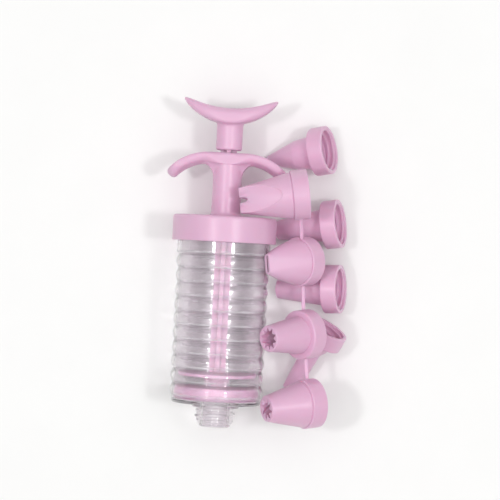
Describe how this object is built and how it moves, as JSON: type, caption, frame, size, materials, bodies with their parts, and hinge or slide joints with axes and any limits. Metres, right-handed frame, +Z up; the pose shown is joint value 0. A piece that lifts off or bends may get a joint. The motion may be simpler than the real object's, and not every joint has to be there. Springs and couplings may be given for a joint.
{
  "type": "pastry syringe",
  "caption": "Pastry syringe with ribbed clear barrel, screw cap with finger wings, plunger with thumb rest, and a set of screw-on piping nozzles.",
  "frame": {"origin": "on the table, under the middle of the set's box", "axes": "+Y along the syringe towards the thumb rest, +X towards the nozzles, +Z up"},
  "size_m": [0.0988, 0.1728, 0.0556],
  "materials": {
    "pink_plastic": "satin injection-moulded polypropylene",
    "clear_plastic": "clear glossy moulded plastic"
  },
  "bodies": {
    "finger_cap": {"finger_cap": "pink_plastic"},
    "barrel": {"barrel": "clear_plastic"},
    "plunger": {"plunger_rod": "pink_plastic", "thumb_rest": "pink_plastic", "piston_head": "pink_plastic"},
    "joined_nozzles": {"nozzle_leaf": "pink_plastic", "nozzle_petal": "pink_plastic", "nozzle_open_star": "pink_plastic", "nozzle_swirl_star": "pink_plastic", "nozzle_runner": "pink_plastic"},
    "fine_round_nozzle": {"nozzle_fine_round": "pink_plastic"},
    "wide_round_nozzle": {"nozzle_wide_round": "pink_plastic"},
    "small_star_nozzle": {"nozzle_small_star": "pink_plastic"},
    "filler_nozzle": {"nozzle_filler": "pink_plastic"}
  },
  "joints": [
    {"name": "barrel_unscrew", "type": "hinge", "parent": "finger_cap", "child": "barrel", "pos_m": [-0.01758, 0.0096, 0.027], "axis": [0, -1, 0], "range_deg": [0, 540]},
    {"name": "plunger_slide", "type": "slide", "parent": "finger_cap", "child": "plunger", "axis": [0, 1, 0], "range_m": [0, 0.075]},
    {"name": "joined_nozzles_lift", "type": "slide", "parent": "finger_cap", "child": "joined_nozzles", "axis": [0, 0, 1], "range_m": [0, 0.06]},
    {"name": "fine_round_nozzle_draw", "type": "slide", "parent": "finger_cap", "child": "fine_round_nozzle", "axis": [1, 0, 0], "range_m": [0, 0.06]},
    {"name": "wide_round_nozzle_draw", "type": "slide", "parent": "finger_cap", "child": "wide_round_nozzle", "axis": [1, 0, 0], "range_m": [0, 0.06]},
    {"name": "small_star_nozzle_draw", "type": "slide", "parent": "finger_cap", "child": "small_star_nozzle", "axis": [1, 0, 0], "range_m": [0, 0.06]},
    {"name": "filler_nozzle_draw", "type": "slide", "parent": "finger_cap", "child": "filler_nozzle", "axis": [1, 0, 0], "range_m": [0, 0.06]}
  ]
}
